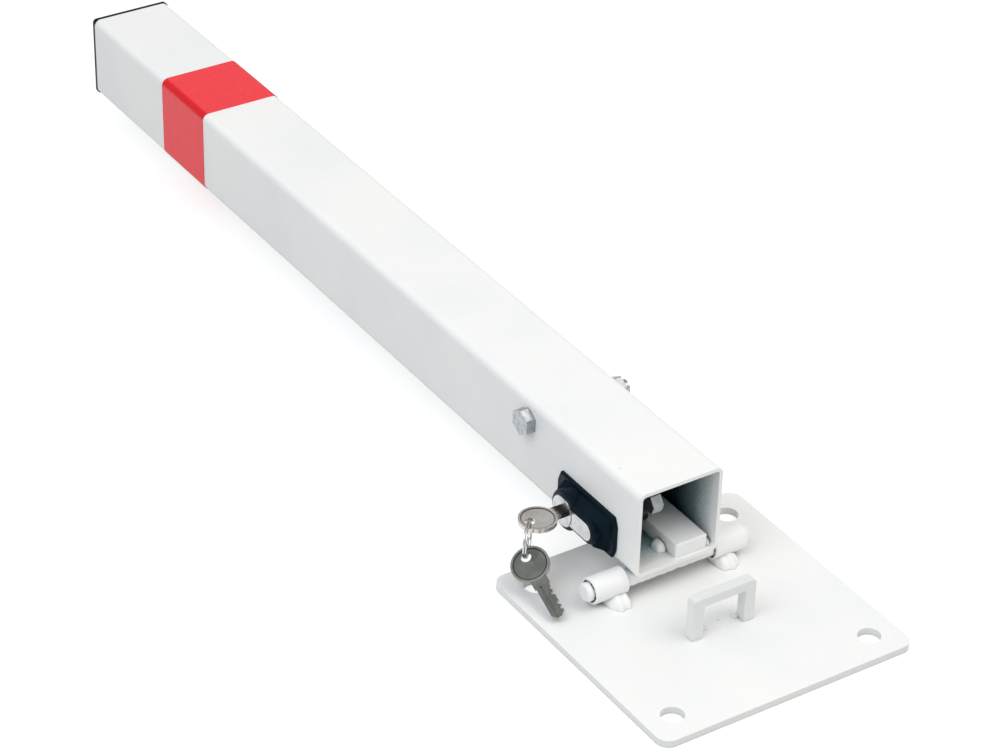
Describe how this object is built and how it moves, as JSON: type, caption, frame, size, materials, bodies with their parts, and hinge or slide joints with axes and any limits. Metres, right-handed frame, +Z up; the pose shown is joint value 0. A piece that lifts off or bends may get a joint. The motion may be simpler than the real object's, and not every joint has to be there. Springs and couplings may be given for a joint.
{
  "type": "folding parking barrier",
  "caption": "Folding parking post: square steel tube with a red reflective band, hinged on a square ground plate and locked upright from inside by a key.",
  "frame": {"origin": "middle of the underside of the ground plate, the centre of the anchor pattern", "axes": "+X along the hinge, +Y along the folded post from its mouth to its cap, +Z up from the ground"},
  "size_m": [0.15, 0.6795, 0.0688],
  "materials": {
    "white_coat": "white powder coat",
    "black_plastic": "moulded black plastic",
    "red_film": "red reflective film",
    "zinc_steel": "zinc plated",
    "nickel": "nickel plated",
    "dark_steel": "darkened steel"
  },
  "bodies": {
    "base": {"base_plate": "white_coat", "hinge_sleeve_left": "white_coat", "hinge_sleeve_right": "white_coat", "sleeve_welds": "white_coat", "lock_staple": "white_coat", "staple_welds": "white_coat"},
    "post": {"post_tube": "white_coat", "end_cap": "black_plastic", "reflective_band": "red_film", "hinge_shaft": "white_coat", "shaft_welds": "white_coat", "inner_bar": "white_coat", "inner_bar_welds": "white_coat", "pivot_bolt": "zinc_steel", "pivot_nut": "zinc_steel", "pivot_spacer_left": "zinc_steel", "pivot_spacer_right": "zinc_steel", "lock_cylinder_body": "nickel", "cylinder_screw": "zinc_steel", "lock_escutcheon": "black_plastic"},
    "hook": {"latch_hook": "zinc_steel"},
    "plug": {"lock_plug": "nickel", "lock_cam": "zinc_steel", "key_in_lock": "nickel"},
    "ring": {"key_ring": "nickel"},
    "spare": {"spare_key": "dark_steel"}
  },
  "joints": [
    {"name": "post_fold", "type": "hinge", "parent": "base", "child": "post", "pos_m": [0, 0.031, 0.0135], "axis": [1, 0, 0], "range_deg": [0, 90]},
    {"name": "key_turn", "type": "hinge", "parent": "post", "child": "plug", "pos_m": [-0.035, 0.0728, 0.0323], "axis": [-1, 0, 0], "range_deg": [0, 60]},
    {"name": "latch_swing", "type": "hinge", "parent": "post", "child": "hook", "pos_m": [-0.008, 0.12, 0.0564], "axis": [-1, 0, 0], "range_deg": [0, 4]},
    {"name": "ring_swing", "type": "hinge", "parent": "plug", "child": "ring", "pos_m": [-0.05601, 0.07079, 0.0334], "axis": [0.7431, -0.6691, 0], "range_deg": [-12, 1.5]},
    {"name": "spare_key_swing", "type": "hinge", "parent": "ring", "child": "spare", "pos_m": [-0.06111, 0.06512, 0.01848], "axis": [0.7431, -0.6691, 0], "range_deg": [-15, 0.5]}
  ],
  "couplings": [
    {"joint": "latch_swing", "follows": "key_turn", "ratio": 0.066667}
  ]
}
